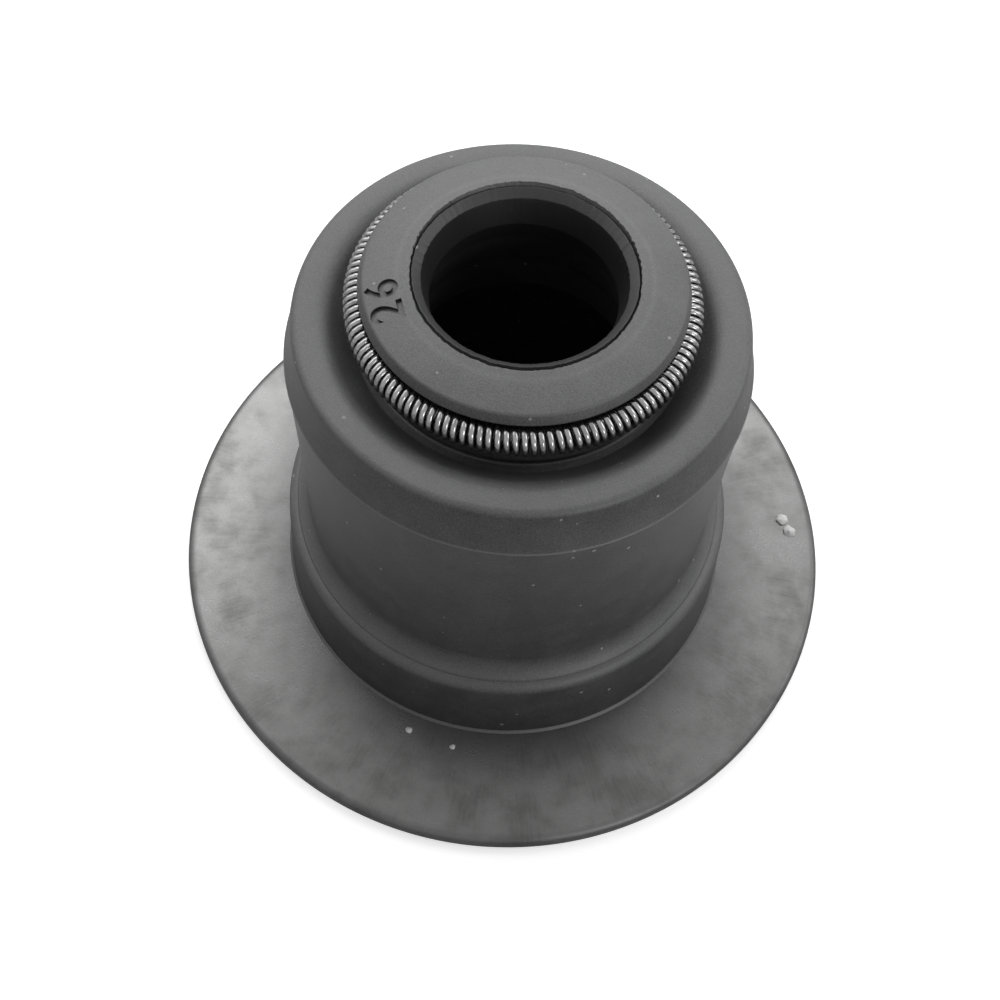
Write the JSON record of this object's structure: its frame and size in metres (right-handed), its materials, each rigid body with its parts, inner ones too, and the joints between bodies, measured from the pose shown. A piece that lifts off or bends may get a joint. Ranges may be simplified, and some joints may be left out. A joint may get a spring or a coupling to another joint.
{
  "type": "valve stem seal",
  "caption": "Valve stem seal: flanged steel shell under a bonded rubber body, with a ribbed guide bore and a sealing lip closed by a garter spring.",
  "frame": {"origin": "centre of the flange's underside", "axes": "+Z along the valve stem, from the flange to the sealing lip"},
  "size_m": [0.029, 0.029, 0.0193],
  "materials": {
    "shell_steel": "dull pressed sheet, mottled",
    "seal_rubber": "matte moulded rubber, fine grain",
    "spring_steel": "bright drawn wire"
  },
  "bodies": {
    "root": {"steel_shell": "shell_steel", "rubber_body": "seal_rubber", "garter_spring": "spring_steel"}
  },
  "joints": []
}
